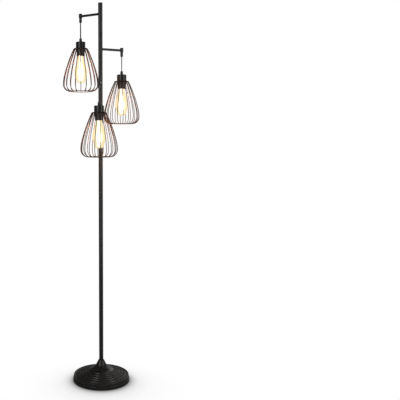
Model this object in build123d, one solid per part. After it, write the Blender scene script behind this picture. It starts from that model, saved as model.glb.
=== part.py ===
from build123d import *
from collections import namedtuple
from math import atan2, cos, degrees, radians, sin, sqrt, tan
import os

# Floor lamp with three hanging wire cages. Millimetres, +Z up, origin on the floor under the pole.

# ---- the three lamps: drops are from the pole's top to the arm's axis, azimuths in degrees ----
left_arm_drop = 46.5
right_arm_drop = 194.5
front_arm_drop = 339.0
left_cord_length = 68.0
right_cord_length = 63.0
front_cord_length = 59.0
Lamp = namedtuple("Lamp", "azimuth arm_drop cord_length first_wire_azimuth screw_azimuth")
LAMPS = {
    "left": Lamp(146.5, left_arm_drop, left_cord_length, 271.7, -20.0),
    "right": Lamp(26.5, right_arm_drop, right_cord_length, 272.7, -80.0),
    "front": Lamp(266.5, front_arm_drop, front_cord_length, 274.6, -60.0),
}

# ---- pole ----
total_height = 1668.0
pole_radius = 9.5
pole_wall = 1.0
pole_foot_height = 60.0
seam_below_arm = 87.5
plain_sections = 3
seam_chamfer = 0.3
plug_plate = 3.0
plug_edge = 0.9
plug_stub = 9.0
coupler_length = 40.0
coupler_bore = 4.5

# ---- arms and tee fittings, measured from the arm's axis ----
arm_reach = 104.0
arm_radius = 5.0
arm_wall = 1.0
weld_size = 2.2
fitting_radius = 7.5
fitting_top = 11.0
fitting_bottom = 8.5
fitting_top_bevel = 2.0
fitting_round = 0.8
fitting_taper = 1.4
fitting_cavity_radius = 4.2
fitting_cavity_top = 4.6
grip_radius = 6.0
grip_length = 18.5
grip_neck = 3.0
grip_bore = 3.5
grip_bevel = 0.6
mouth_radius = 4.8
mouth_depth = 2.6
screw_radius = 1.5
screw_head_radius = 1.9
screw_head = 0.8
screw_rise = 4.2
screw_slot = 0.6

# ---- flat twin cord and its pivots ----
cord_width = 6.0
cord_thickness = 3.0
pivot_depth = 2.0
cord_gap = 0.3
lead_offset = 3.7
lead_bend_in_pole = 6.0
lead_bend_in_fitting = 8.0
splice_radius = 7.0
splice_length = 20.0
splice_gap = 20.0

# ---- socket ----
socket_grip_radius = 6.0
socket_grip_length = 14.5
socket_neck_radius = 4.8
socket_neck_length = 6.6
cup_radius = 21.0
cup_height = 30.0
cup_wall = 1.6
cup_edge = 2.6
socket_radius = 18.0
socket_below_cup = 32.0
socket_collar = 4.0
socket_collar_slope = 1.0
socket_bevel = 3.0
socket_bevel_round = 0.5
socket_foot_round = 1.0
contact_bore_radius = 14.4
contact_wall = 1.1
contact_chamber_top = 33.5
shell_foot_inset = 1.0
shell_top_inset = 3.0
centre_contact_radius = 4.0
centre_contact_height = 1.5
centre_contact_sheet = 0.7
centre_contact_flange = 2.0
centre_contact_slack = 1.0
shade_ring_height = 10.0
shade_ring_edge = 0.8

# ---- wire cage, heights above the underside of its bottom ring ----
wire_radius = 1.5
wire_count = 20
cage_height = 188.5
cage_tail_gap = 1.5
cage_tail_length = 4.0
shoulder_bend = 5.0
leg_bow = 11.5
belly_radius = 77.5
belly_arc = 150.0
bottom_arc = 30.0
cage_ring_run = 0.5
lean_passes = 40
cage_plate_thickness = 1.5
cage_plate_clearance = 0.3

# ---- bulb, heights below the tip of its cap ----
bulb_length = 142.5
bulb_cap_radius = 13.3
bulb_cap_height = 27.0
bulb_cap_wall = 0.7
bulb_cap_cone = 4.0
bulb_cap_round = 0.6
bulb_tip_radius = 4.6
bulb_tip_height = 2.0
bulb_tip_skirt = 1.0
bulb_tip_round = 0.8
bulb_neck_radius = 12.4
bulb_neck_seat = 10.0
bulb_belly_corner = 31.4
bulb_neck_end = 6.5
bulb_belly_drop = 95.0
bulb_belly_round = 60.0
bulb_neck_round = 40.0
bulb_end_radius = 17.0
bulb_end_round = 19.0
glass_wall = 0.9
stem_radius = 2.0
stem_flare_radius = 6.0
stem_flare_draft = 1.0
stem_flare_rounds = (1.5, 2.0)
stem_rim = 1.2
stem_flare_top = 4.0
stem_flare_foot = 12.0
stem_rod_top = 18.0
stem_button_radius = 3.0
stem_button_height = 2.0
stem_button_slope = 1.0
stem_button_rounds = (0.6, 0.8)
stem_length = 51.0
filament_wire = 0.4
filament_loops = 5
filament_top_radius = 4.0
filament_foot_radius = 10.0
filament_top_drop = 57.0
filament_foot_drop = 116.0
filament_round = 0.9

# ---- base: insets are drawn in from the base's radius ----
base_radius = 127.0
skirt_height = 14.0
band_inset = 3.0
band_height = 28.5
rim_round = 2.5
band_foot_round = 0.8
groove_inset = 12.0
groove_depth = 1.2
groove_slope = 3.0
groove_rounds = (1.5, 1.0)
step_insets = (16.0, 30.0, 43.0, 56.0, 69.0)
step_rise = 4.2
step_run = 2.5
step_tread_rise = 0.4
step_round = 2.2
flare_radius = 24.0
flare_height = 71.0
flare_round = 30.0
flare_foot_radius = 44.0
flare_foot_rise = 5.0
cone_radius = 12.0
cone_height = 95.0
cone_round = 1.0
cover_wall = 1.6
pole_clearance = 0.1
felt_inset = 4.0
felt_thickness = 1.6
plate_clearance = 1.4
plate_thickness = 1.5
skirt_lift = 0.8
weight_clearance = 3.4
weight_height = 22.0
weight_rounds = (1.5, 3.0)
hub_radius = 16.0
hub_spread = 24.0
hub_rounds = (12.0, 2.0)
stud_radius = 6.0
stud_bore = 4.0
stud_engagement = 22.0
stud_past_nut = 1.0
nut_flats = 19.0
nut_height = 8.0
washer_radius = 17.0
washer_thickness = 2.0
nut_pocket_radius = 20.0
nut_pocket_top = 16.0
plate_screw_circle = 80.0
plate_screw_count = 3
plate_screw_azimuth = 30.0
plate_screw_radius = 2.0
plate_screw_head_radius = 4.0
plate_screw_length = 12.0
plate_screw_tip_gap = 1.0
inlet_height = 7.5
inlet_bore = 3.0
inlet_neck_radius = 3.6
inlet_flange_radius = 4.8
inlet_inner_flange_radius = 3.9
inlet_flange = 1.2
inlet_channel = 5.0

# ---- heights and radii that follow; an arm's pieces are drawn from its axis ----
pole_bore = pole_radius - pole_wall
pole_top = total_height - plug_plate
lowest_arm_height = total_height - max(lamp.arm_drop for lamp in LAMPS.values())
upper_section_foot = lowest_arm_height - seam_below_arm
plain_section_length = (upper_section_foot - pole_foot_height) / plain_sections
splice_foot = upper_section_foot + coupler_length / 2 + splice_gap
splice_top = splice_foot + splice_length
arm_bore = arm_radius - arm_wall
grip_end = -fitting_bottom - grip_length
upper_pivot = grip_end + pivot_depth

# ---- heights of a pendant's pieces, drawn from the top of its socket grip ----
lower_pivot = -pivot_depth
cup_top = -socket_grip_length
cup_foot = cup_top - cup_height
plate_foot = cup_foot - cage_plate_thickness
socket_foot = cup_foot - socket_below_cup
contact_top = cup_top - contact_chamber_top
bulb_top = contact_top - centre_contact_height
bulb_rim = bulb_top - bulb_cap_height
bulb_seat = bulb_rim + bulb_neck_seat
cage_floor = cup_foot + 2 * wire_radius - cage_height
belly_height = wire_radius + bottom_arc
cage_tail_radius = cup_radius + cage_tail_gap
cage_shoulder_radius = cage_tail_radius + cage_tail_length
cage_ring_radius = belly_radius - bottom_arc - cage_ring_run

# ---- radii of the base's pieces ----
band_radius = base_radius - band_inset
groove_radius = base_radius - groove_inset
skirt_bore = base_radius - cover_wall
weight_radius = band_radius - cover_wall - weight_clearance
weight_foot = felt_thickness + plate_thickness


# ---- shapes that several pieces share ----
def rounded_outline(corners):
    """Closed outline in the XZ plane through corners (x, z) or (x, z, rounding). A rounding is limited to
    what its two sides leave room for."""
    points = [Vector(corner[0], 0, corner[1]) for corner in corners]
    spans = []
    for i, corner in enumerate(corners):
        before, after = points[i - 1] - points[i], points[(i + 1) % len(points)] - points[i]
        half = radians(before.get_angle(after)) / 2
        wanted = corner[2] / tan(half) if len(corner) > 2 else 0
        reach = min(wanted, 0.49 * before.length, 0.49 * after.length)
        inset = reach / cos(half) - reach * tan(half)
        middle = points[i] + (before.normalized() + after.normalized()).normalized() * inset
        start, end = points[i] + before.normalized() * reach, points[i] + after.normalized() * reach
        spans.append((start, middle, end))
    edges = []
    for i, (start, middle, end) in enumerate(spans):
        if (end - start).length > 1e-6:
            edges.append(Edge.make_three_point_arc(start, middle, end))
        edges.append(Edge.make_line(end, spans[(i + 1) % len(spans)][0]))
    return Wire(edges)


def turned(*corners):
    """Solid turned about Z from the corners of its outline: (radius, height[, rounding])."""
    return revolve(make_face(rounded_outline(corners)), Axis.Z)


def rod(radius, start, end):
    """Upright cylinder between two heights."""
    return Pos(0, 0, (start + end) / 2) * Cylinder(radius, abs(end - start))


def tube(radius, bore, start, end):
    return rod(radius, start, end) - rod(bore, start, end)


def rod_along_x(radius, start, end):
    return Pos((start + end) / 2, 0, 0) * Rot(0, 90, 0) * Cylinder(radius, abs(end - start))


def around_z(count, solid, start=0.0):
    """Equal copies of a solid, spaced evenly about Z."""
    return [Rot(0, 0, start + 360 / count * i) * solid for i in range(count)]


def at_pole(lamp, solid):
    """Moves a piece drawn along +X at height 0 to a lamp's arm."""
    return Pos(0, 0, total_height - LAMPS[lamp].arm_drop) * Rot(0, 0, LAMPS[lamp].azimuth) * solid


def at_fitting(lamp, solid, azimuth=None):
    """Moves a piece drawn about Z, with the arm's axis at height 0, to a lamp's fitting."""
    turn = 0.0 if azimuth is None else azimuth - LAMPS[lamp].azimuth
    return at_pole(lamp, Pos(arm_reach, 0, 0) * Rot(0, 0, turn) * solid)


def at_pendant(lamp, solid, azimuth=None):
    """Moves a piece drawn about Z, with the socket grip's top at height 0, to the end of a lamp's cord."""
    return at_fitting(lamp, Pos(0, 0, grip_end - LAMPS[lamp].cord_length) * solid, azimuth)


# ---- base ----
def cover_outline():
    """Corners of the cover's outer side, from its foot to the neck round the pole."""
    corners = [(base_radius, skirt_lift), (base_radius, skirt_height, rim_round / 2)]
    corners += [(band_radius, skirt_height, band_foot_round), (band_radius, band_height, rim_round)]
    corners += [(groove_radius + groove_slope, band_height, groove_rounds[0])]
    height = band_height - groove_depth
    corners += [(groove_radius, height, groove_rounds[1])]
    for inset in step_insets:
        foot = (base_radius - inset, height + step_tread_rise, step_round / 2)
        height += step_rise + step_tread_rise
        corners += [foot, (base_radius - inset - step_run, height, step_round)]
    corners += [(flare_foot_radius, height + flare_foot_rise, flare_round / 2)]
    corners += [(flare_radius, flare_height, flare_round), (cone_radius, cone_height, cone_round)]
    return corners


def base_cover():
    """Pressed steel cover: the outer form less the same form drawn in by the wall."""
    outer = cover_outline()
    form = turned((0, skirt_lift), *outer, (0, cone_height))
    inner = [(r - cover_wall, z - cover_wall, *rounding) for r, z, *rounding in outer]
    inner[0] = (skirt_bore, skirt_lift)
    hollow = turned((0, skirt_lift), *inner, (0, cone_height - cover_wall))
    shell = form - hollow - rod(pole_radius + pole_clearance, 0, 2 * cone_height)
    return shell - inlet_hole()


def base_weight():
    """Cast iron disc with a hub that carries the pole, a nut pocket and a channel for the inlet."""
    body = turned(
        (0, weight_foot), (weight_radius, weight_foot, weight_rounds[0]),
        (weight_radius, weight_height, weight_rounds[1]),
        (hub_radius + hub_spread, weight_height, hub_rounds[0]),
        (hub_radius, pole_foot_height, hub_rounds[1]), (0, pole_foot_height),
    )
    body -= rod(stud_radius, weight_foot, pole_foot_height)
    body -= rod(nut_pocket_radius, weight_foot, nut_pocket_top)
    channel = Box(2 * inlet_channel, weight_radius, nut_pocket_top - weight_foot)
    body -= Pos(0, weight_radius / 2, (weight_foot + nut_pocket_top) / 2) * channel
    tapped = rod(plate_screw_radius, weight_foot, weight_foot + plate_screw_length)
    for hole in around_z(plate_screw_count, Pos(plate_screw_circle, 0, 0) * tapped, plate_screw_azimuth):
        body -= hole
    return body


def plate_screw():
    """Countersunk screw, flush with the underside of the plate."""
    tip = weight_foot + plate_screw_length - plate_screw_tip_gap
    return turned(
        (0, felt_thickness), (plate_screw_head_radius, felt_thickness), (plate_screw_radius, weight_foot),
        (plate_screw_radius, tip), (0, tip),
    )


def plate_screws():
    return around_z(plate_screw_count, Pos(plate_screw_circle, 0, 0) * plate_screw(), plate_screw_azimuth)


def base_bottom_plate():
    plate = rod(skirt_bore - plate_clearance, felt_thickness, weight_foot)
    for screw in plate_screws():
        plate -= screw
    return plate


def base_stud():
    """Hollow threaded tube from the nut up into the pole's lowest coupler."""
    foot = nut_pocket_top - washer_thickness - nut_height - stud_past_nut
    return tube(stud_radius, stud_bore, foot, pole_foot_height + stud_engagement)


def base_nut():
    top = nut_pocket_top - washer_thickness
    hexagon = RegularPolygon(nut_flats / 2, 6, major_radius=False)
    return Pos(0, 0, top - nut_height) * extrude(hexagon, nut_height) - rod(stud_radius, 0, top)


def base_washer():
    return tube(washer_radius, stud_radius, nut_pocket_top - washer_thickness, nut_pocket_top)


def inlet_hole():
    """Hole through the rear of the skirt."""
    hole = Pos(0, base_radius, inlet_height) * Rot(90, 0, 0)
    return hole * Cylinder(inlet_neck_radius, 2 * skirt_height)


def base_cord_bushing():
    """Rubber bushing in the rear of the skirt: a neck with a flange on each side of the wall."""
    neck_start, neck_end = skirt_bore - inlet_flange, base_radius + inlet_flange
    profile = rod(inlet_neck_radius, neck_start, neck_end)
    profile += rod(inlet_flange_radius, (skirt_bore + base_radius) / 2, neck_end)
    profile += rod(inlet_inner_flange_radius, neck_start, (skirt_bore + base_radius) / 2)
    profile -= rod(inlet_bore, neck_start, neck_end)
    bushing = Pos(0, 0, inlet_height) * Rot(-90, 0, 0) * profile
    wall = tube(base_radius, skirt_bore, 0, 2 * skirt_height) - inlet_hole()
    return bushing - wall


# ---- pole ----
def pole_section(start, end):
    """Thin-walled tube with its outer edges broken, so that a seam shows as a fine line."""
    return turned(
        (pole_bore, start), (pole_radius - seam_chamfer, start), (pole_radius, start + seam_chamfer),
        (pole_radius, end - seam_chamfer), (pole_radius - seam_chamfer, end), (pole_bore, end),
    )


def pole_upper_section():
    section = pole_section(upper_section_foot, pole_top)
    for lamp in LAMPS:
        section -= at_pole(lamp, rod_along_x(arm_bore, 0, 2 * pole_radius))
    return section


def pole_couplers():
    """One threaded bush at the foot, over the stud, and one across each seam."""
    foot = tube(pole_bore, stud_radius, pole_foot_height, pole_foot_height + stud_engagement)
    couplers = [foot]
    for seam in range(1, plain_sections + 1):
        middle = pole_foot_height + seam * plain_section_length
        couplers += [tube(pole_bore, coupler_bore, middle - coupler_length / 2, middle + coupler_length / 2)]
    return couplers


def pole_top_plug():
    return turned(
        (0, pole_top - plug_stub), (pole_bore, pole_top - plug_stub), (pole_bore, pole_top),
        (pole_radius, pole_top), (pole_radius, total_height, plug_edge), (0, total_height),
    )


# ---- arms ----
def arm_tube():
    """Tube with its inner end shaped to the pole and welded there, and its outer end in the fitting."""
    end = arm_reach - fitting_cavity_radius
    bead_radius = arm_radius + weld_size
    bead_start, bead_end = sqrt(pole_radius**2 - bead_radius**2), pole_radius + weld_size
    bead = Rot(0, 90, 0) * Cone(bead_radius, arm_radius, bead_end - bead_start)
    arm = rod_along_x(arm_radius, 0, end) + Pos((bead_start + bead_end) / 2, 0, 0) * bead
    return arm - rod_along_x(arm_bore, 0, end) - rod(pole_radius, -bead_end, bead_end)


def arm_fitting():
    """Tee fitting: a capped barrel with the arm's seat in its side and the grip's seat below."""
    barrel = turned(
        (0, -fitting_bottom), (fitting_radius - fitting_taper, -fitting_bottom),
        (fitting_radius, -fitting_bottom + fitting_taper),
        (fitting_radius, fitting_top - fitting_top_bevel, fitting_round),
        (fitting_radius - fitting_top_bevel, fitting_top, fitting_round), (0, fitting_top),
    )
    barrel -= rod(fitting_cavity_radius, -fitting_bottom, fitting_cavity_top)
    return barrel - rod_along_x(arm_radius, -2 * fitting_radius, 0)


def arm_grip():
    """Cord grip with a threaded neck, a flared mouth and a tapped hole in its side."""
    body = turned(
        (grip_bore, -fitting_bottom + grip_neck), (fitting_cavity_radius, -fitting_bottom + grip_neck),
        (fitting_cavity_radius, -fitting_bottom), (grip_radius, -fitting_bottom),
        (grip_radius, grip_end + grip_bevel), (grip_radius - grip_bevel, grip_end),
        (mouth_radius, grip_end), (grip_bore, grip_end + mouth_depth),
    )
    return body - Pos(0, 0, grip_end + screw_rise) * rod_along_x(screw_radius, 0, 2 * grip_radius)


def grip_screw():
    """Small set screw that presses on the cord: shank in the grip's side and a slotted head."""
    shank = rod_along_x(screw_radius, grip_bore, grip_radius)
    head = rod_along_x(screw_head_radius, grip_bore, grip_radius + screw_head)
    head -= rod(grip_radius, -screw_head_radius, screw_head_radius)
    slot = Pos(grip_radius + screw_head, 0, 0) * Box(screw_head, 3 * screw_radius, screw_slot)
    return Pos(0, 0, grip_end + screw_rise) * (shank + head - slot)


def cord_section():
    return SlotOverall(cord_width, cord_thickness, rotation=90)


def arm_lead(lamp):
    """The twin cord's hidden stretch: up the pole, out along the arm and down into the grip."""
    foot = Vector(lead_offset, 0, splice_top - total_height + LAMPS[lamp].arm_drop)
    end = Vector(arm_reach, 0, upper_pivot + cord_thickness / 2 + cord_gap)
    path = FilletPolyline(
        foot, Vector(lead_offset, 0, 0), Vector(arm_reach, 0, 0), end,
        radius=[lead_bend_in_pole, lead_bend_in_fitting],
    )
    return sweep(Pos(*foot) * cord_section(), path)


def lead_splice():
    """Crimped joint of the three leads inside the pole."""
    return rod(splice_radius, splice_foot, splice_top)


# ---- cord ----
def free_cord(length):
    """Flat twin cord whose ends are rounded about the pivots: across its thickness at the top, across
    its width at the foot."""
    foot_pivot = grip_end - length - pivot_depth
    straight = extrude(Pos(0, 0, foot_pivot) * cord_section(), upper_pivot - foot_pivot)
    top = extrude(Pos(0, 0, upper_pivot) * cord_section(), cord_thickness / 2)
    top &= Pos(0, 0, upper_pivot) * Rot(90, 0, 0) * Cylinder(cord_thickness / 2, 2 * cord_width)
    foot = extrude(Pos(0, 0, foot_pivot) * cord_section(), -cord_width / 2)
    foot &= Pos(0, 0, foot_pivot) * Rot(0, 90, 0) * Cylinder(cord_width / 2, 2 * cord_width)
    return straight + top + foot


# ---- socket ----
def socket_grip():
    """Strain relief: its neck goes through the cup's top into the socket body."""
    neck_end = cup_top - socket_neck_length
    return turned(
        (grip_bore, neck_end), (socket_neck_radius, neck_end), (socket_neck_radius, cup_top),
        (socket_grip_radius, cup_top), (socket_grip_radius, -grip_bevel),
        (socket_grip_radius - grip_bevel, 0), (mouth_radius, 0), (grip_bore, -mouth_depth),
    )


def socket_cup():
    return turned(
        (socket_neck_radius, cup_top), (cup_radius, cup_top, cup_edge), (cup_radius, cup_foot),
        (cup_radius - cup_wall, cup_foot), (cup_radius - cup_wall, cup_top - cup_wall, cup_edge - cup_wall),
        (socket_neck_radius, cup_top - cup_wall),
    )


def socket_body():
    """Moulded insulator with a collar that centres it in the cup and a bore for the contacts."""
    top, inner = cup_top - cup_wall, cup_radius - cup_wall
    body = turned(
        (0, top), (socket_radius - socket_bevel, top, socket_bevel_round),
        (socket_radius, top - socket_bevel, socket_bevel_round), (socket_radius, cup_foot + socket_collar),
        (inner, cup_foot + socket_collar - socket_collar_slope), (inner, cup_foot),
        (socket_radius, cup_foot), (socket_radius, socket_foot, socket_foot_round), (0, socket_foot),
    )
    body -= rod(socket_neck_radius, top, cup_top - socket_neck_length)
    body -= rod(grip_bore, top, contact_top)
    return body - rod(contact_bore_radius, contact_top, socket_foot)


def socket_contacts():
    """Screw shell lining the bore, the centre contact in its roof, and the cord's tail that feeds them."""
    shell_foot, shell_top = socket_foot + shell_foot_inset, contact_top - shell_top_inset
    shell = tube(contact_bore_radius, contact_bore_radius - contact_wall, shell_foot, shell_top)
    dish, face = contact_top - centre_contact_sheet, contact_top - centre_contact_height
    inner = grip_bore + centre_contact_slack
    centre = turned(
        (inner, contact_top), (centre_contact_radius + centre_contact_flange, contact_top),
        (centre_contact_radius, face), (0, face), (0, dish), (inner, dish),
    )
    tail_top = lower_pivot - cord_width / 2 - cord_gap
    tail = extrude(Pos(0, 0, dish) * cord_section(), tail_top - dish)
    return [shell, centre, tail]


def shade_ring():
    """Threaded ring that clamps the cage plate against the cup."""
    foot = plate_foot - shade_ring_height
    return turned(
        (socket_radius, plate_foot), (cup_radius, plate_foot, shade_ring_edge),
        (cup_radius, foot, shade_ring_edge), (socket_radius, foot),
    )


# ---- cage ----
def cage_plate():
    """Flat ring under the cup: the inner ends of the wires are welded on top of it."""
    bore = socket_radius + cage_plate_clearance
    return tube(cage_shoulder_radius, bore, plate_foot, cup_foot)


def cage_ring():
    profile = Pos(cage_ring_radius, 0, cage_floor + wire_radius) * Rot(90, 0, 0) * Circle(wire_radius)
    return revolve(profile, Axis.Z)


def cage_legs():
    """Lean of a leg from upright, at its foot and at its top, and the radius of its bow. The lean is
    found by repeating, because the belly and the shoulder that it joins turn with it."""
    bend_height = cage_height - wire_radius - shoulder_bend
    lean = 0.0
    for _ in range(lean_passes):
        foot_lean, top_lean = lean - leg_bow / 2, lean + leg_bow / 2
        low = Vector(belly_radius - belly_arc * (1 - cos(radians(foot_lean))), 0,
                     belly_height + belly_arc * sin(radians(foot_lean)))
        high = Vector(cage_shoulder_radius + shoulder_bend * cos(radians(top_lean)), 0,
                      bend_height + shoulder_bend * sin(radians(top_lean)))
        lean = degrees(atan2(low.X - high.X, high.Z - low.Z))
    bow_radius = (high - low).length / (2 * sin(radians(leg_bow / 2)))
    return foot_lean, top_lean, bow_radius


def cage_wire():
    """One wire along +X: inward tail, shoulder, bowed leg, belly and a sweep in to the ring."""
    foot_lean, top_lean, bow_radius = cage_legs()
    top = cage_height - wire_radius
    tail = Line((cage_tail_radius, top), (cage_shoulder_radius, top))
    shoulder = JernArc(tail @ 1, tail % 1, shoulder_bend, top_lean - 90)
    leg = JernArc(shoulder @ 1, shoulder % 1, bow_radius, -leg_bow)
    belly = JernArc(leg @ 1, leg % 1, belly_arc, -foot_lean)
    low = JernArc(belly @ 1, belly % 1, bottom_arc, -90)
    last = Line(low @ 1, (cage_ring_radius, wire_radius))
    path = Plane.XZ * Wire([edge.edge() for edge in (tail, shoulder, leg, belly, low, last)])
    section = Plane(origin=(cage_tail_radius, 0, top), z_dir=(1, 0, 0)) * Circle(wire_radius)
    return Pos(0, 0, cage_floor) * sweep(section, path) - cage_ring()


# ---- bulb ----
def bulb_outline(inset):
    """Corners of the glass, drawn in by inset, from its seat in the cap down to the end on the axis."""
    end = bulb_top - bulb_length
    return [
        (0, bulb_seat), (bulb_neck_radius - inset, bulb_seat),
        (bulb_neck_radius - inset, bulb_rim - bulb_neck_end, bulb_neck_round + inset),
        (bulb_belly_corner - inset, bulb_top - bulb_belly_drop, bulb_belly_round - inset),
        (bulb_end_radius - inset, end + inset, bulb_end_round - inset),
        (0, end + inset),
    ]


def bulb_glass():
    """Blown glass, open at the neck where the stem closes it."""
    return turned(*bulb_outline(0)) - turned(*bulb_outline(glass_wall))


def bulb_cap():
    """Screw cap: a cup round the glass neck that narrows to the tip contact."""
    tip_foot = bulb_top - bulb_tip_height
    cone_foot = tip_foot - bulb_cap_cone
    return turned(
        (bulb_neck_radius, bulb_rim), (bulb_cap_radius, bulb_rim),
        (bulb_cap_radius, cone_foot, bulb_cap_round), (bulb_tip_radius + bulb_tip_skirt, tip_foot),
        (bulb_tip_radius, tip_foot), (bulb_tip_radius, bulb_top, bulb_tip_round), (0, bulb_top),
        (0, cone_foot - bulb_cap_wall), (bulb_neck_radius, cone_foot - bulb_cap_wall),
    )


def bulb_stem():
    """Glass stem: a flare that closes the neck, and a rod that ends in a button."""
    inner, end = bulb_neck_radius - glass_wall, bulb_top - stem_length
    button_foot = end + stem_button_height
    return turned(
        (0, bulb_seat), (inner, bulb_seat), (inner, bulb_seat - stem_rim),
        (stem_flare_radius, bulb_seat - stem_flare_top, stem_flare_rounds[0]),
        (stem_flare_radius - stem_flare_draft, bulb_seat - stem_flare_foot, stem_flare_rounds[1]),
        (stem_radius, bulb_seat - stem_rod_top, stem_flare_rounds[1]),
        (stem_radius, button_foot + stem_button_slope),
        (stem_button_radius, button_foot, stem_button_rounds[0]),
        (stem_button_radius, end, stem_button_rounds[1]), (0, end),
    )


def bulb_filament():
    """One wire in tall loops round the bulb's axis, from one side of the stem's button to the other."""
    button = bulb_top - stem_length
    step = 360 / (2 * filament_loops)

    def ring_point(radius, height, strand):
        angle = radians(step * (strand + 0.5))
        return Vector(radius * cos(angle), radius * sin(angle), height)

    strands = range(2 * filament_loops)
    top, foot = bulb_top - filament_top_drop, bulb_top - filament_foot_drop
    points = [ring_point(stem_radius, button, 0), ring_point(stem_radius, (button + top) / 2, 0)]
    for strand in strands:
        high = ring_point(filament_top_radius, top, strand)
        low = ring_point(filament_foot_radius, foot, strand)
        points += [high, low] if strand % 2 == 0 else [low, high]
    points += [ring_point(stem_radius, (button + top) / 2, strands[-1])]
    points += [ring_point(stem_radius, button, strands[-1])]
    path = FilletPolyline(*points, radius=filament_round)
    return sweep(Pos(*points[0]) * Circle(filament_wire), path)


# ---- one file per piece ----
pieces = {
    "base_cover": base_cover(),
    "base_weight": base_weight(),
    "base_bottom_plate": base_bottom_plate(),
    "base_plate_screws": plate_screws(),
    "base_felt_pad": rod(base_radius - felt_inset, 0, felt_thickness),
    "base_stud": base_stud(),
    "base_nut": base_nut(),
    "base_washer": base_washer(),
    "base_cord_bushing": base_cord_bushing(),
    "pole_upper_section": pole_upper_section(),
    "pole_couplers": pole_couplers(),
    "pole_top_plug": pole_top_plug(),
    "arm_grips": [at_fitting(name, arm_grip(), lamp.screw_azimuth) for name, lamp in LAMPS.items()],
    "arm_grip_screws": [at_fitting(name, grip_screw(), lamp.screw_azimuth) for name, lamp in LAMPS.items()],
    "arm_leads": [at_pole(lamp, arm_lead(lamp)) for lamp in LAMPS] + [lead_splice()],
}
for i in range(plain_sections):
    section_foot = pole_foot_height + i * plain_section_length
    pieces[f"pole_section_{i + 1}"] = pole_section(section_foot, section_foot + plain_section_length)

pendant_pieces = {
    "socket_grip": socket_grip(),
    "socket_cup": socket_cup(),
    "socket_body": socket_body(),
    "socket_contacts": socket_contacts(),
    "shade_ring": shade_ring(),
    "cage_plate": cage_plate(),
    "cage_ring": cage_ring(),
    "cage_wires": around_z(wire_count, cage_wire()),
    "bulb_glass": bulb_glass(),
    "bulb_cap": bulb_cap(),
    "bulb_filament": [bulb_stem(), bulb_filament()],
}
for lamp, sizes in LAMPS.items():
    pieces[f"{lamp}_arm_tube"] = at_pole(lamp, arm_tube())
    pieces[f"{lamp}_arm_fitting"] = at_fitting(lamp, arm_fitting())
    pieces[f"{lamp}_cord"] = at_fitting(lamp, free_cord(sizes.cord_length))
    for name, piece in pendant_pieces.items():
        turn = sizes.first_wire_azimuth if name == "cage_wires" else None
        solids = piece if isinstance(piece, list) else [piece]
        pieces[f"{lamp}_{name}"] = [at_pendant(lamp, solid, turn) for solid in solids]

os.makedirs("parts", exist_ok=True)
for name, piece in pieces.items():
    solids = piece if isinstance(piece, list) else [piece]
    export_step(Compound([solid for part in solids for solid in part.solids()]), f"parts/{name}.step")
print(len(pieces), "pieces; bends of the hidden leads:", lead_bend_in_pole, lead_bend_in_fitting, "mm")
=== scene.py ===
from math import cos, pi, radians, sin, sqrt

import bmesh
import bpy
from mathutils import Matrix, Vector


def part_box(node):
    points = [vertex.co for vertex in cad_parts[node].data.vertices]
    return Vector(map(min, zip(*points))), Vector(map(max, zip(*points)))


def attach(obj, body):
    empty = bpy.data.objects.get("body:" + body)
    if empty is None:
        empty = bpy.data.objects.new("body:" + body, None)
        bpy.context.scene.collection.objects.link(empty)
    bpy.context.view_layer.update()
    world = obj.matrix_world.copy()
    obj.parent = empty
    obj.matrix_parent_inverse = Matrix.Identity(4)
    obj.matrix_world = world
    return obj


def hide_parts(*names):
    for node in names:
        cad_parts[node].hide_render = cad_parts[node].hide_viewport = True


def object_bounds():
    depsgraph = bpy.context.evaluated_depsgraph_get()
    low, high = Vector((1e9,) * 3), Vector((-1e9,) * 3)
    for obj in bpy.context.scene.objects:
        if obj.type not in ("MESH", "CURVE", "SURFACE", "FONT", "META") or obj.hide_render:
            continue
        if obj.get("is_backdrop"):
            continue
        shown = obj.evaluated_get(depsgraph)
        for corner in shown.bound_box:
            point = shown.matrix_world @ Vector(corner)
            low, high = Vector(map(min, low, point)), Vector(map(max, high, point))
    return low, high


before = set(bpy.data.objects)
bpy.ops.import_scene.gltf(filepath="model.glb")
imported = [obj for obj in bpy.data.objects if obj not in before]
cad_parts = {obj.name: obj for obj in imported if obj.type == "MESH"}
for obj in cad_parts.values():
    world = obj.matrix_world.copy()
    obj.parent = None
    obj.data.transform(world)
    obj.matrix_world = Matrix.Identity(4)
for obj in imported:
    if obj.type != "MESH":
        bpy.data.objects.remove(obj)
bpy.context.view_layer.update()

# ---- Base cover ----
# A steel bell pressed in one piece: a two-band rim, a groove, five low rings and a flared neck round
# the pole. It is powder coated satin black, which leaves a fine orange peel.
MM = 0.001


class Value:
    """A socket of a shader tree, so that shader maths reads as an expression."""

    def __init__(self, shading, socket):
        self.shading, self.socket = shading, socket

    def maths(self, operation, *inputs):
        return self.shading.node("ShaderNodeMath", {"operation": operation}, dict(enumerate(inputs)))

    def __add__(self, other):
        return self.maths("ADD", self, other)

    def __radd__(self, other):
        return self.maths("ADD", other, self)

    def __sub__(self, other):
        return self.maths("SUBTRACT", self, other)

    def __rsub__(self, other):
        return self.maths("SUBTRACT", other, self)

    def __mul__(self, other):
        return self.maths("MULTIPLY", self, other)

    def __rmul__(self, other):
        return self.maths("MULTIPLY", other, self)

    def __pow__(self, other):
        return self.maths("POWER", self, other)


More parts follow.
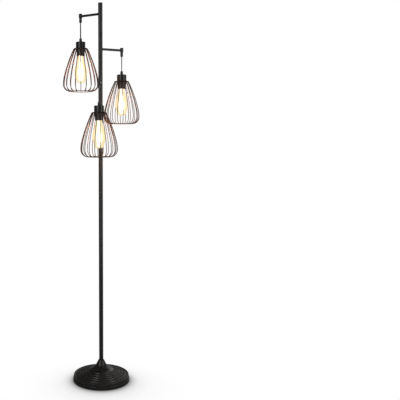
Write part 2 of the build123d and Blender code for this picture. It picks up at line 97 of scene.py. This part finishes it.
class Shading:
    """A tree of shader nodes."""

    def __init__(self, tree):
        self.tree = tree

    def node(self, kind, settings=None, inputs=None, output=0):
        """Adds any node: its settings first, with a ramp's stops under "stops", then its inputs."""
        made = self.tree.nodes.new(kind)
        for name, value in (settings or {}).items():
            if name == "stops":
                stops = made.color_ramp.elements
                while len(stops) < len(value):
                    stops.new(1)
                for stop, (place, shade) in zip(stops, value):
                    stop.position, stop.color = place, (*shade, 1)
            else:
                setattr(made, name, value)
        for name, value in (inputs or {}).items():
            self.set(made, name, value)
        return Value(self, made.outputs[output])

    def set(self, node, name, value):
        """Puts a constant on a socket, or links a value to it."""
        if isinstance(value, Value):
            self.tree.links.new(value.socket, node.inputs[name])
        else:
            node.inputs[name].default_value = value


class Finish(Shading):
    """A material of the lamp: its Principled shader, and what varies it over a surface."""

    def __init__(self, name, **sockets):
        self.material = bpy.data.materials.new(name)
        self.material.use_nodes = True
        super().__init__(self.material.node_tree)
        for socket, value in sockets.items():
            self.give(socket.replace("_", " "), value)

    def give(self, socket, value):
        self.set(self.tree.nodes["Principled BSDF"], socket, value)

    def noise(self, scale, detail=2.0, roughness=0.5, stretch=(1, 1, 1)):
        """Cloudy noise on Object coordinates, with that many clouds to the metre."""
        place = self.node("ShaderNodeTexCoord", output="Object")
        point = self.node("ShaderNodeMapping", inputs={"Vector": place, "Scale": stretch})
        inputs = {"Vector": point, "Scale": scale, "Detail": detail, "Roughness": roughness}
        return self.node("ShaderNodeTexNoise", inputs=inputs)

    def shades(self, factor, dark, light):
        """A colour that goes from dark to light with the factor."""
        return self.node("ShaderNodeValToRGB", {"stops": [(0.3, dark), (0.7, light)]}, {"Fac": factor})

    def bump(self, height, depth):
        """Relief of that many millimetres."""
        self.give("Normal", self.node("ShaderNodeBump", inputs={"Height": height, "Distance": depth * MM}))

    def coat(self, *nodes):
        """Gives this finish to pieces of the frame."""
        for name in nodes:
            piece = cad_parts[name]
            if not piece.material_slots:
                piece.data.materials.append(None)
            for held in piece.material_slots:
                held.material = self.material


def powder_coat(name, dark, light, roughness, gloss):
    """Satin black powder coat: cloudy colour, faint handling marks and a fine orange peel."""
    coat = Finish(name, Specular_IOR_Level=gloss)
    cloud = coat.noise(14, 4)
    rubbed = coat.noise(46, 3, 0.6)
    peel = coat.noise(900, 2)
    coat.give("Base Color", coat.shades(cloud, dark, light))
    coat.give("Roughness", roughness + 0.16 * (rubbed - 0.5))
    coat.bump(0.3 * peel + rubbed, 0.012)
    return coat


black_paint = powder_coat("satin_black_paint", (0.003, 0.0028, 0.0027), (0.007, 0.0064, 0.006), 0.36, 0.2)
black_paint.coat("base_cover")

# ---- Inside the base ----
# An iron disc gives the lamp its weight. A sheet steel disc closes it below, a hollow stud with a nut
# and washer pulls the pole down on it, and a felt disc keeps the steel off the floor.
cast_iron = Finish("cast_iron", Metallic=0.85)
lumps = cast_iron.noise(120, 6, 0.65)
cast_iron.give("Base Color", cast_iron.shades(cast_iron.noise(18, 5), (0.055, 0.05, 0.047), (0.13, 0.125, 0.12)))
cast_iron.give("Roughness", 0.55 + 0.3 * (lumps - 0.5))
cast_iron.bump(lumps, 0.5)
cast_iron.coat("base_weight")

zinc = Finish("zinc_plate", Metallic=1.0)
grain = zinc.noise(260, 3, 0.6, (1, 1, 0.08))
zinc.give("Base Color", zinc.shades(zinc.noise(70, 4), (0.42, 0.43, 0.44), (0.62, 0.62, 0.6)))
zinc.give("Roughness", 0.32 + 0.25 * (grain - 0.5))
zinc.bump(grain, 0.03)
zinc.coat("base_bottom_plate", "base_plate_screws", "base_stud", "base_nut", "base_washer", "pole_couplers")

felt = Finish("black_felt", Specular_IOR_Level=0.1)
fibres = felt.noise(700, 4, 0.75)
felt.give("Base Color", felt.shades(fibres, (0.018, 0.018, 0.019), (0.06, 0.06, 0.062)))
felt.give("Roughness", 0.95 + 0.05 * fibres)
felt.bump(fibres, 0.5)
felt.coat("base_felt_pad")

rubber = Finish("black_rubber", Specular_IOR_Level=0.3)
bloom = rubber.noise(90, 3)
rubber.give("Base Color", rubber.shades(bloom, (0.014, 0.014, 0.014), (0.026, 0.026, 0.025)))
rubber.give("Roughness", 0.6 + 0.2 * (bloom - 0.5))
rubber.coat("base_cord_bushing")

# ---- Pole ----
# Three plain tubes and an upper tube screw together on bushes inside, with a fine line at each seam,
# and a plug closes the top. All of it wears the base's powder coat.
black_paint.coat("pole_section_1", "pole_section_2", "pole_section_3", "pole_upper_section", "pole_top_plug")

# ---- Arms ----
# Each arm is a short tube, shaped to the pole and welded to it, that ends in a tee fitting. A narrower
# grip is screwed in below the fitting, and a small blackened screw in its side holds the cord.
LAMPS = ("left", "right", "front")
blackened_steel = Finish("blackened_steel", Metallic=0.6, Roughness=0.3)
blackened_steel.give("Base Color", blackened_steel.shades(
    blackened_steel.noise(300, 3), (0.02, 0.019, 0.019), (0.06, 0.058, 0.055)))
blackened_steel.coat("arm_grip_screws")
black_paint.coat("arm_grips")
for lamp in LAMPS:
    black_paint.coat(f"{lamp}_arm_tube", f"{lamp}_arm_fitting")

# ---- Cords ----
# A flat twin flex carries each lamp: two round cores side by side in one dull black sheath. The free
# stretch hangs taut under the lamp's weight, and twists a little on its way down.
CORD_WIDTH, CORD_THICKNESS = 6 * MM, 3 * MM
ARM_AZIMUTH = {"left": 146.5, "right": 26.5, "front": 266.5}
CORD_TWIST = {"left": -12, "right": -14, "front": 6}

cord_sheath = Finish("cord_sheath", Specular_IOR_Level=0.2)
dust = cord_sheath.noise(60, 4)
cord_sheath.give("Base Color", cord_sheath.shades(dust, (0.006, 0.0055, 0.0055), (0.014, 0.013, 0.0125)))
cord_sheath.give("Roughness", 0.48 + 0.2 * (dust - 0.5))
cord_sheath.bump(cord_sheath.noise(500, 2, 0.5, (1, 1, 0.05)), 0.04)


def finished(name, form, finish, body, smooth=40):
    """Makes an object of a bmesh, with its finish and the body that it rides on."""
    bmesh.ops.remove_doubles(form, verts=form.verts, dist=1e-6)
    bmesh.ops.recalc_face_normals(form, faces=form.faces)
    mesh = bpy.data.meshes.new(name)
    form.to_mesh(mesh)
    form.free()
    mesh.materials.append(finish.material)
    piece = bpy.data.objects.new(name, mesh)
    bpy.context.scene.collection.objects.link(piece)
    mesh.shade_smooth()
    mesh.set_sharp_from_angle(angle=radians(smooth))
    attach(piece, body)
    return piece


def nurbs_line(points):
    """The points that a smooth NURBS line follows between its control points."""
    curve = bpy.data.curves.new("route", "CURVE")
    curve.dimensions, curve.resolution_u = "3D", 12
    spline = curve.splines.new("NURBS")
    spline.points.add(len(points) - 1)
    for held, point in zip(spline.points, points):
        held.co = (*point, 1)
    spline.order_u, spline.use_endpoint_u = 3, True
    route = bpy.data.objects.new("route", curve)
    line = bpy.data.meshes.new_from_object(route)
    followed = [vertex.co.copy() for vertex in line.vertices]
    bpy.data.objects.remove(route)
    bpy.data.meshes.remove(line)
    bpy.data.curves.remove(curve)
    return followed


def twin_flex(points, azimuth, turn):
    """A figure of eight drawn down the points, which are upright, and turned evenly on the way."""
    form = bmesh.new()
    ring = bmesh.ops.create_circle(form, segments=36, radius=1)["verts"]
    for vertex in ring:
        side = abs(vertex.co.x) * CORD_WIDTH / 2
        core = CORD_THICKNESS / 2
        rise = sqrt(max(core**2 - (side - core)**2, (0.62 * core)**2 if side < core else 0))
        vertex.co = Vector((vertex.co.x * CORD_WIDTH / 2, (rise > 0) * (1 if vertex.co.y > 0 else -1) * rise, 0))
    edges = list({edge for vertex in ring for edge in vertex.link_edges})
    bmesh.ops.rotate(form, verts=ring, matrix=Matrix.Rotation(azimuth, 3, "Z"))
    bmesh.ops.translate(form, verts=ring, vec=points[0])
    bmesh.ops.contextual_create(form, geom=edges)
    for before, after in zip(points, points[1:]):
        grown = bmesh.ops.extrude_edge_only(form, edges=edges)["geom"]
        ring = [part for part in grown if isinstance(part, bmesh.types.BMVert)]
        edges = [part for part in grown if isinstance(part, bmesh.types.BMEdge)]
        bmesh.ops.translate(form, verts=ring, vec=after - before)
        step = turn * (after - before).length / (points[-1] - points[0]).length
        bmesh.ops.rotate(form, verts=ring, cent=after, matrix=Matrix.Rotation(step, 3, "Z"))
    bmesh.ops.contextual_create(form, geom=edges)
    return form


for lamp in LAMPS:
    low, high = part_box(f"{lamp}_cord")
    x, y = (low.x + high.x) / 2, (low.y + high.y) / 2
    drop = high.z - low.z
    route = nurbs_line([(x, y, high.z - share * drop) for share in (0, 0.33, 0.67, 1)])
    facing = radians(ARM_AZIMUTH[lamp] + 90)
    flex = finished(f"{lamp}_twin_flex", twin_flex(route, facing, radians(CORD_TWIST[lamp])), cord_sheath,
                    f"{lamp}_cord")
    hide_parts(f"{lamp}_cord")
cord_sheath.coat("arm_leads")

# ---- Sockets ----
# A drawn steel cup with a rounded top hides the moulded lamp holder. Its strain relief screws in from
# above, a threaded ring below clamps the cage, and the holder's foot stands proud of the ring.
moulding = Finish("black_moulding", Specular_IOR_Level=0.25)
flow = moulding.noise(80, 4, 0.6, (1, 1, 0.4))
moulding.give("Base Color", moulding.shades(flow, (0.006, 0.005, 0.0045), (0.013, 0.0105, 0.009)))
moulding.give("Roughness", 0.4 + 0.2 * (flow - 0.5))
moulding.bump(moulding.noise(600, 2), 0.05)

brass = Finish("stamped_brass", Metallic=1.0)
tarnish = brass.noise(150, 4, 0.6)
brass.give("Base Color", brass.shades(tarnish, (0.42, 0.28, 0.1), (0.75, 0.56, 0.26)))
brass.give("Roughness", 0.25 + 0.3 * (tarnish - 0.5))

for lamp in LAMPS:
    black_paint.coat(f"{lamp}_socket_grip", f"{lamp}_socket_cup")
    moulding.coat(f"{lamp}_socket_body", f"{lamp}_shade_ring")
    brass.coat(f"{lamp}_socket_contacts")

# ---- Cages ----
# Twenty steel wires, bent alike, are spot welded to a flat ring under the cup and to a wire ring at the
# foot. A thin coat of the same satin powder covers them, in a browner black than the pole's.
black_wire = powder_coat("black_wire_paint", (0.01, 0.006, 0.0045), (0.019, 0.012, 0.009), 0.36, 0.2)
for lamp in LAMPS:
    black_wire.coat(f"{lamp}_cage_plate", f"{lamp}_cage_wires", f"{lamp}_cage_ring")

# ---- Bulbs ----
# A drawn-out pear bulb of clear amber glass, with a filament in tall loops on a glass stem. It burns
# bright enough to wash out its middle and to warm the wires round it.
GLOW_WATTS, GLOW_COLOUR = 40, (1.0, 0.56, 0.27)
clear_amber = Finish("clear_amber_glass", Base_Color=(0.001, 0.0006, 0.0002, 1), Roughness=0.12,
                     Specular_IOR_Level=0.3, Emission_Strength=2.2)
rim = clear_amber.node("ShaderNodeLayerWeight", inputs={"Blend": 0.5}, output="Facing")
clear_amber.give("Emission Color", clear_amber.node("ShaderNodeValToRGB", {"stops": [
    (0.02, (1.0, 0.93, 0.8)), (0.14, (0.45, 0.41, 0.26)), (0.45, (0.41, 0.35, 0.2)),
    (0.85, (0.33, 0.25, 0.13))]}, {"Fac": rim}))
clear_amber.give("Alpha", 0.45 + 0.25 * rim)

bulb_cap_metal = Finish("bulb_cap_metal", Metallic=1.0)
rolled = bulb_cap_metal.noise(200, 3, 0.5)
bulb_cap_metal.give("Base Color", bulb_cap_metal.shades(rolled, (0.55, 0.53, 0.48), (0.72, 0.7, 0.66)))
bulb_cap_metal.give("Roughness", 0.28 + 0.2 * (rolled - 0.5))

FILAMENT_SHARE = 0.65


def filament_glow(name, button):
    """The hot wire glows below the stem's button, and the stem above it is warm glass."""
    glow = Finish(name, Base_Color=(0.02, 0.012, 0.005, 1), Roughness=0.2, Emission_Strength=12.0)
    place = glow.node("ShaderNodeTexCoord", output="Object")
    height = glow.node("ShaderNodeSeparateXYZ", inputs={0: place}, output="Z")
    hot = glow.node("ShaderNodeMapRange", inputs={
        "Value": height, "From Min": button, "From Max": button - 3 * MM, "To Min": 0.04, "To Max": 1.0})
    flicker = hot * (0.75 + 0.5 * glow.noise(40, 2))
    glow.give("Emission Color", glow.node("ShaderNodeValToRGB", {"stops": [
        (0.0, (0.0, 0.0, 0.0)), (0.1, (0.14, 0.07, 0.02)), (1.0, (1.0, 0.7, 0.32))]}, {"Fac": flicker}))
    return glow


for lamp in LAMPS:
    clear_amber.coat(f"{lamp}_bulb_glass")
    bulb_cap_metal.coat(f"{lamp}_bulb_cap")
    low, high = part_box(f"{lamp}_bulb_filament")
    button = low.z + FILAMENT_SHARE * (high.z - low.z)
    filament_glow(f"{lamp}_glowing_wire", button).coat(f"{lamp}_bulb_filament")
    glow = bpy.data.lights.new(f"{lamp}_glow", "POINT")
    glow.energy, glow.color, glow.shadow_soft_size = GLOW_WATTS, GLOW_COLOUR, 8 * MM
    burning = bpy.data.objects.new(f"{lamp}_glow", glow)
    burning.location = (low.x + high.x) / 2, (low.y + high.y) / 2, low.z + 0.35 * (high.z - low.z)
    bpy.context.scene.collection.objects.link(burning)
    burning.visible_glossy = False
    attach(burning, f"{lamp}_pendant")

# ---- Studio ----
# A pale floor, an even pale room and two tall soft boxes. The camera looks straight at the lamp from a
# little above half its height, and its shift puts the lamp in the left of the frame, as in the photograph.
camera = bpy.data.objects.new("camera", bpy.data.cameras.new("camera"))
camera.data.lens, camera.data.sensor_width = 56.687, 36
camera.data.shift_x = 0.24795
camera.data.clip_start, camera.data.clip_end = 0.05, 100
tilt = Matrix.Rotation(radians(90 - 5.994), 4, "X") @ Matrix.Rotation(radians(-0.154), 4, "Z")
camera.matrix_world = Matrix.Translation((0, -2.7638, 1.1108)) @ tilt
bpy.context.scene.collection.objects.link(camera)
bpy.context.scene.camera = camera


class Ray(Shading):
    """A tree that tells a ray that shows the background from one that carries light."""

    def __init__(self, tree):
        super().__init__(tree)
        kinds = ("Is Camera Ray", "Is Transmission Ray", "Is Glossy Ray")
        self.camera, self.through, self.gloss = (self.node("ShaderNodeLightPath", output=kind) for kind in kinds)


room = bpy.data.worlds.new("room")
bpy.context.scene.world = room
room.use_nodes = True
ray = Ray(room.node_tree)
direction = ray.node("ShaderNodeTexCoord", output="Generated")
ahead = ray.node("ShaderNodeSeparateXYZ", inputs={0: direction}, output="Y")
rise = ray.node("ShaderNodeSeparateXYZ", inputs={0: direction}, output="Z")
backdrop = ray.node("ShaderNodeMapRange", inputs={"Value": ahead - 2.5 * rise, "From Min": 0.0, "From Max": 0.5})
shown = ray.camera + ray.through + ray.gloss * (0.06 + 0.24 * backdrop)
lit = 0.8 * (1 - ray.camera - ray.through - ray.gloss)
ray.set(room.node_tree.nodes["Background"], "Color", (1, 1, 1, 1))
ray.set(room.node_tree.nodes["Background"], "Strength", shown + lit)

form = bmesh.new()
bmesh.ops.create_grid(form, x_segments=1, y_segments=1, size=40)
floor_mesh = bpy.data.meshes.new("floor")
form.to_mesh(floor_mesh)
form.free()
floor = bpy.data.objects.new("floor", floor_mesh)
bpy.context.scene.collection.objects.link(floor)
floor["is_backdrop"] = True
floor_finish = bpy.data.materials.new("pale_floor_painted_shadow")
floor_mesh.materials.append(floor_finish)
floor_finish.use_nodes = True
ray = Ray(floor_finish.node_tree)
ray.tree.nodes.remove(ray.tree.nodes["Principled BSDF"])
# Painted shadow: the white that the camera sees on the floor is darkened by ambient occlusion, tilted towards
# the back. This paints a contact shadow round the base and in front of it, not one cast by the lamps.
painted_shadow_slant = ray.node("ShaderNodeCombineXYZ", inputs={"Y": 0.2, "Z": 0.98})
open_sky_painted_shadow = ray.node("ShaderNodeAmbientOcclusion", {"samples": 32}, {"Distance": 0.3, "Normal": painted_shadow_slant}, "AO")
white_with_painted_shadow = ray.node("ShaderNodeEmission", inputs={"Strength": open_sky_painted_shadow**2.5 * (1 - 0.7 * ray.gloss)})
lit = ray.node("ShaderNodeBsdfDiffuse", inputs={"Color": (0.75, 0.75, 0.75, 1)})
seen = ray.node("ShaderNodeMixShader", inputs={0: ray.camera + ray.through + ray.gloss, 1: lit, 2: white_with_painted_shadow})
ray.set(ray.tree.nodes["Material Output"], "Surface", seen)


def soft_box(name, place, aim, width, height, watts):
    light = bpy.data.lights.new(name, "AREA")
    light.shape, light.size, light.size_y, light.energy = "RECTANGLE", width, height, watts
    box = bpy.data.objects.new(name, light)
    box.location = place
    box.rotation_euler = (Vector(aim) - Vector(place)).to_track_quat("-Z", "Y").to_euler()
    bpy.context.scene.collection.objects.link(box)


soft_box("left_soft_box", (-1.55, -2.2, 1.4), (0, 0, 0.9), 0.8, 2.4, 65)
soft_box("right_soft_box", (2.2, -1.4, 1.2), (0, 0, 0.9), 0.8, 2.4, 55)
soft_box("rear_soft_box", (1.3, 2.2, 1.6), (0, 0, 0.3), 1.8, 1.8, 18)
bpy.context.scene.view_settings.view_transform = "Standard"

low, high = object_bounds()
